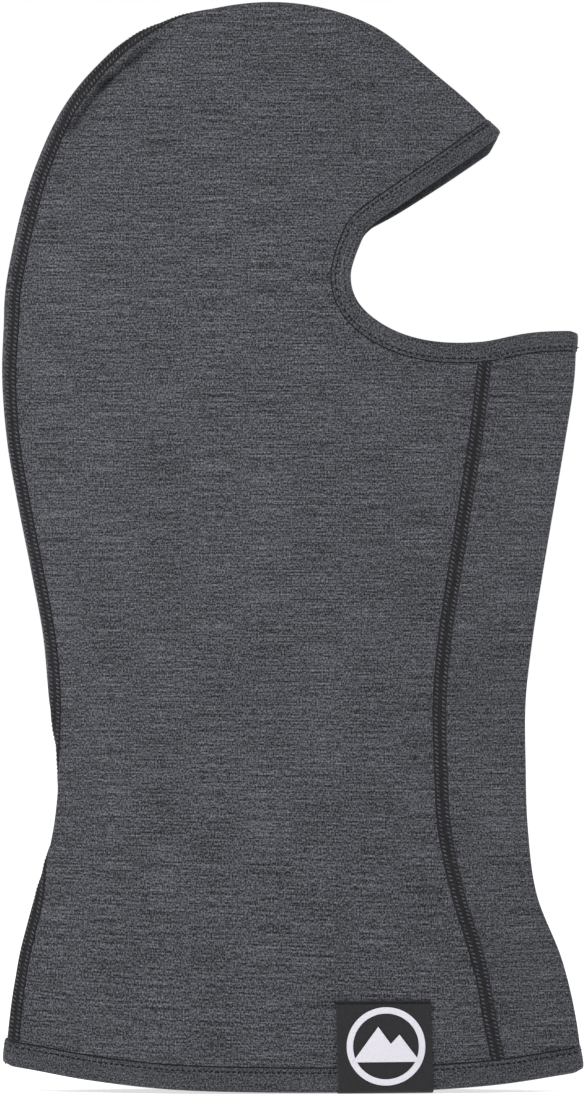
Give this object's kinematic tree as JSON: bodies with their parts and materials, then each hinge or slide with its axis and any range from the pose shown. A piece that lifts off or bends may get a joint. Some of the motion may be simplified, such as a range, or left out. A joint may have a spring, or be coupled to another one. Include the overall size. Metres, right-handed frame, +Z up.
{
  "type": "balaclava",
  "caption": "Thin knitted hood for head and neck, open at the face, with flatlock seams, a folded binding round the face and hem, and a woven label at the hem.",
  "frame": {"origin": "mid-depth of the hem opening on the middle plane, level with the hem's lowest point, where the neck leaves the hood", "axes": "+Z up towards the crown, +X the way the face looks, +Y the wearer's left"},
  "size_m": [0.2494, 0.0848, 0.4633],
  "materials": {
    "jersey": "matt charcoal melange knit",
    "binding": "matt charcoal melange knit, folded",
    "thread": "matt near-black sewing thread",
    "label": "matt black woven tape",
    "emblem": "white woven thread"
  },
  "bodies": {
    "root": {"right_side_panel": "jersey", "left_side_panel": "jersey", "front_neck_panel": "jersey", "face_binding": "binding", "hem_binding": "binding", "back_seam_thread": "thread", "right_neck_seam_thread": "thread", "left_neck_seam_thread": "thread", "face_binding_stitching": "thread", "face_binding_inner_stitching": "thread", "hem_stitching": "thread", "hem_inner_stitching": "thread", "woven_label": "label", "label_emblem": "emblem", "label_stitching": "thread"}
  },
  "joints": []
}
